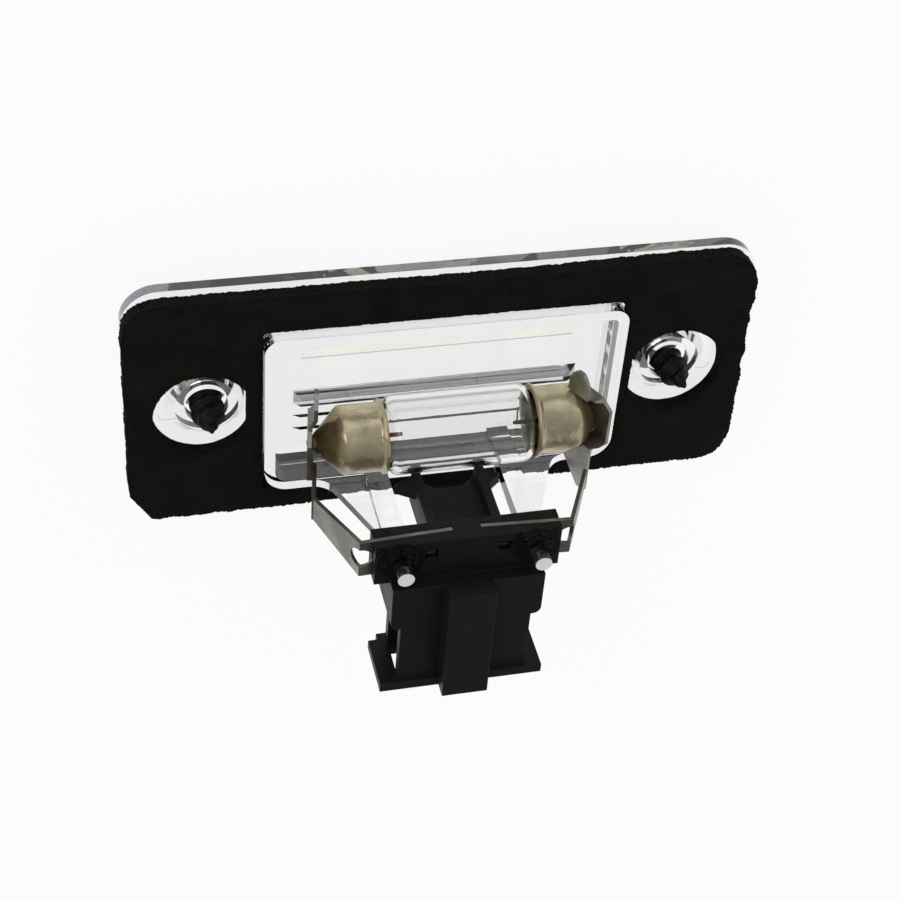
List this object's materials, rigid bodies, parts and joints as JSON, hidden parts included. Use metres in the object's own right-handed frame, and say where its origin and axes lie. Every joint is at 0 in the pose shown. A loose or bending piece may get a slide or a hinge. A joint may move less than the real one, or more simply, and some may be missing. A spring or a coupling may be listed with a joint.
{
  "type": "number plate lamp",
  "caption": "Rectangular number plate lamp with a clear lens, a foam gasket, a festoon bulb in spring contacts and a black holder with a plug shroud.",
  "frame": {"origin": "centre of the lens in X and Y, on the front face of the light window", "axes": "+X along the lens, +Y across it away from the plug, +Z from the light window to the back with the bulb and the holder"},
  "size_m": [0.077, 0.0496, 0.0276],
  "materials": {
    "clear_plastic": "clear, polished",
    "foam": "fine-celled matt foam",
    "black_plastic": "fine satin",
    "spring_steel": "dull tinned",
    "washer_steel": "blackened",
    "bulb_glass": "clear",
    "cap_metal": "tarnished nickel plate",
    "solder": "dull solder",
    "copper_lead": "oxidised copper",
    "dark_lead": "blackened",
    "black_screw": "black zinc"
  },
  "bodies": {
    "root": {"lens": "clear_plastic", "gasket": "foam", "holder": "black_plastic", "contact_left": "spring_steel", "contact_right": "spring_steel", "lock_washer_left": "washer_steel", "lock_washer_right": "washer_steel", "bulb_glass": "bulb_glass", "bulb_cap_left": "cap_metal", "bulb_cap_right": "cap_metal", "solder_tip_left": "solder", "solder_tip_right": "solder", "lead_left": "copper_lead", "lead_right": "dark_lead", "filament_stub": "dark_lead", "screw_left": "black_screw", "screw_right": "black_screw"}
  },
  "joints": []
}
